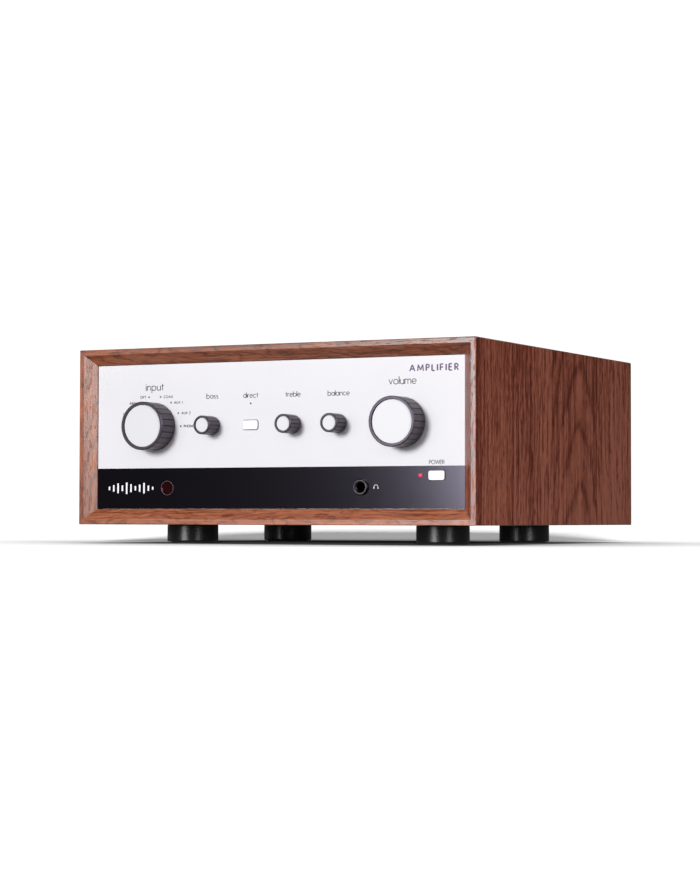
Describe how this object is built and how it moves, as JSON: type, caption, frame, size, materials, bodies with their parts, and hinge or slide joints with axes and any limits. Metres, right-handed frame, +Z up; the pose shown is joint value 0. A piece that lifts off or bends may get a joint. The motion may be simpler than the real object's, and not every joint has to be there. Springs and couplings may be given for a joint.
{
  "type": "integrated amplifier",
  "caption": "Compact integrated stereo amplifier: white and black front with rotary controls, in a mitred walnut sleeve on round feet.",
  "frame": {"origin": "middle of the overall box at the floor, under the feet", "axes": "+X to the right seen from the front, +Y from the front to the back, +Z up"},
  "size_m": [0.326, 0.3416, 0.145],
  "materials": {
    "walnut": "satin oiled veneer",
    "foot_black": "satin",
    "rubber": "matte",
    "steel": "satin",
    "zinc_sheet": "satin zinc",
    "rear_black": "fine texture",
    "black_screw": "satin",
    "fascia_white": "satin",
    "fascia_black": "satin",
    "window_red": "smoked gloss",
    "led_red": "clear gloss",
    "led_grey": "unlit lens",
    "socket_black": "moulded",
    "nut_nickel": "nickel plate",
    "button_white": "semi-gloss",
    "gold_plate": "gilt",
    "rocker_black": "semi-gloss",
    "laminate_green": "lacquer",
    "winding": "film-wrapped winding",
    "capacitor_sleeve": "sleeved can",
    "heatsink_black": "anodised",
    "epoxy_black": "moulded",
    "knob_dark": "satin",
    "cap_white": "satin",
    "terminal_red": "clear red",
    "terminal_black": "semi-gloss"
  },
  "bodies": {
    "chassis": {"cabinet_top": "walnut", "cabinet_bottom": "walnut", "cabinet_left": "walnut", "cabinet_right": "walnut", "feet": "foot_black", "foot_pads": "rubber", "foot_screws": "steel", "chassis_base": "zinc_sheet", "chassis_front": "zinc_sheet", "chassis_cover": "zinc_sheet", "rear_panel": "rear_black", "case_screws": "black_screw", "fascia_upper": "fascia_white", "fascia_lower": "fascia_black", "ir_window": "window_red", "power_led": "led_red", "indicator_leds": "led_grey", "headphone_socket": "socket_black", "bush_nuts": "nut_nickel", "rotary_controls": "zinc_sheet", "volume_pot": "zinc_sheet", "button_switches": "socket_black", "rca_jacks": "gold_plate", "rca_block": "socket_black", "terminal_posts": "gold_plate", "terminal_plate": "socket_black", "mains_inlet": "socket_black", "mains_pins": "nut_nickel", "optical_socket": "socket_black", "digital_sockets": "nut_nickel", "circuit_boards": "laminate_green", "transformer": "winding", "transformer_mount": "steel", "reservoir_capacitors": "capacitor_sleeve", "heatsink": "heatsink_black", "output_transistors": "epoxy_black"},
    "input_control": {"input_knob": "knob_dark", "input_knob_cap": "cap_white", "input_shaft": "steel"},
    "bass_control": {"bass_knob": "knob_dark", "bass_knob_cap": "cap_white", "bass_shaft": "steel"},
    "treble_control": {"treble_knob": "knob_dark", "treble_knob_cap": "cap_white", "treble_shaft": "steel"},
    "balance_control": {"balance_knob": "knob_dark", "balance_knob_cap": "cap_white", "balance_shaft": "steel"},
    "volume_control": {"volume_knob": "knob_dark", "volume_knob_cap": "cap_white", "volume_shaft": "steel"},
    "direct_button_body": {"direct_button": "button_white"},
    "power_button_body": {"power_button": "button_white"},
    "mains_rocker_body": {"mains_rocker": "rocker_black"},
    "optical_shutter_body": {"optical_shutter": "socket_black"},
    "ground_knob_body": {"ground_knob": "nut_nickel"},
    "right_negative_terminal_cap_body": {"right_negative_terminal_cap": "terminal_black"},
    "right_positive_terminal_cap_body": {"right_positive_terminal_cap": "terminal_red"},
    "left_negative_terminal_cap_body": {"left_negative_terminal_cap": "terminal_black"},
    "left_positive_terminal_cap_body": {"left_positive_terminal_cap": "terminal_red"}
  },
  "joints": [
    {"name": "input_turn", "type": "hinge", "parent": "chassis", "child": "input_control", "pos_m": [-0.1015, -0.15225, 0.0868], "axis": [0, 1, 0], "continuous": true},
    {"name": "bass_turn", "type": "hinge", "parent": "chassis", "child": "bass_control", "pos_m": [-0.052, -0.15225, 0.0868], "axis": [0, 1, 0], "range_deg": [-150, 150]},
    {"name": "treble_turn", "type": "hinge", "parent": "chassis", "child": "treble_control", "pos_m": [0.0153, -0.15225, 0.0868], "axis": [0, 1, 0], "range_deg": [-150, 150]},
    {"name": "balance_turn", "type": "hinge", "parent": "chassis", "child": "balance_control", "pos_m": [0.0523, -0.15225, 0.0868], "axis": [0, 1, 0], "range_deg": [-150, 150]},
    {"name": "volume_turn", "type": "hinge", "parent": "chassis", "child": "volume_control", "pos_m": [0.103, -0.15225, 0.0868], "axis": [0, 1, 0], "range_deg": [-150, 150]},
    {"name": "direct_button_press", "type": "slide", "parent": "chassis", "child": "direct_button_body", "axis": [0, 1, 0], "range_m": [0, 0.001], "stiffness_N_per_m": 400, "springref_m": -0.0006},
    {"name": "power_button_press", "type": "slide", "parent": "chassis", "child": "power_button_body", "axis": [0, 1, 0], "range_m": [0, 0.001], "stiffness_N_per_m": 400, "springref_m": -0.0006},
    {"name": "mains_switch", "type": "hinge", "parent": "chassis", "child": "mains_rocker_body", "pos_m": [-0.118, 0.14825, 0.089], "axis": [1, 0, 0], "range_deg": [0, 16]},
    {"name": "shutter_swing", "type": "hinge", "parent": "chassis", "child": "optical_shutter_body", "pos_m": [0.098, 0.14235, 0.0557], "axis": [-1, 0, 0], "range_deg": [0, 80], "stiffness_Nm_per_rad": 0.0002, "springref_deg": -28.65},
    {"name": "right_negative_cap_turn", "type": "hinge", "parent": "chassis", "child": "right_negative_terminal_cap_body", "pos_m": [-0.042, 0.15375, 0.054], "axis": [0, 1, 0], "range_deg": [0, 720]},
    {"name": "right_positive_cap_turn", "type": "hinge", "parent": "chassis", "child": "right_positive_terminal_cap_body", "pos_m": [-0.02, 0.15375, 0.054], "axis": [0, 1, 0], "range_deg": [0, 720]},
    {"name": "left_negative_cap_turn", "type": "hinge", "parent": "chassis", "child": "left_negative_terminal_cap_body", "pos_m": [0.002, 0.15375, 0.054], "axis": [0, 1, 0], "range_deg": [0, 720]},
    {"name": "left_positive_cap_turn", "type": "hinge", "parent": "chassis", "child": "left_positive_terminal_cap_body", "pos_m": [0.024, 0.15375, 0.054], "axis": [0, 1, 0], "range_deg": [0, 720]},
    {"name": "ground_knob_turn", "type": "hinge", "parent": "chassis", "child": "ground_knob_body", "pos_m": [0.139, 0.14875, 0.082], "axis": [0, 1, 0], "range_deg": [0, 1080]}
  ]
}
